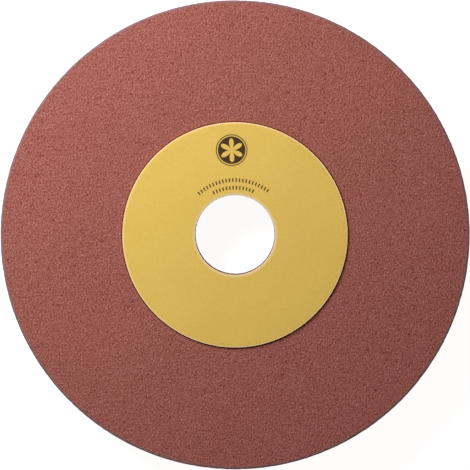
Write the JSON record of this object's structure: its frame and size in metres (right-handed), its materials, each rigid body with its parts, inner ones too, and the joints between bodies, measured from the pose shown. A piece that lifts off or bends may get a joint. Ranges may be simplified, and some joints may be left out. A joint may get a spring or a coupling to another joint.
{
  "type": "grinding wheel",
  "caption": "Straight bonded-abrasive grinding wheel: a flat red-brown ring with a plain round bore and a card blotter glued to each face for the clamping flanges.",
  "frame": {"origin": "on the bore's axis, in the plane of the rear blotter's outer face, on which the wheel lies", "axes": "+Z along the bore, out of the front face; X and Y across the wheel, with +Y towards the top of the printed face"},
  "size_m": [0.3, 0.3, 0.034],
  "materials": {
    "bonded_abrasive": "coarse matte grain of bonded aluminium oxide, with open pores",
    "gold_card": "satin gold face on card, with a paler cut edge",
    "plain_card": "matte unprinted card"
  },
  "bodies": {
    "root": {"abrasive_wheel": "bonded_abrasive", "front_blotter": "gold_card", "rear_blotter": "plain_card"}
  },
  "joints": []
}
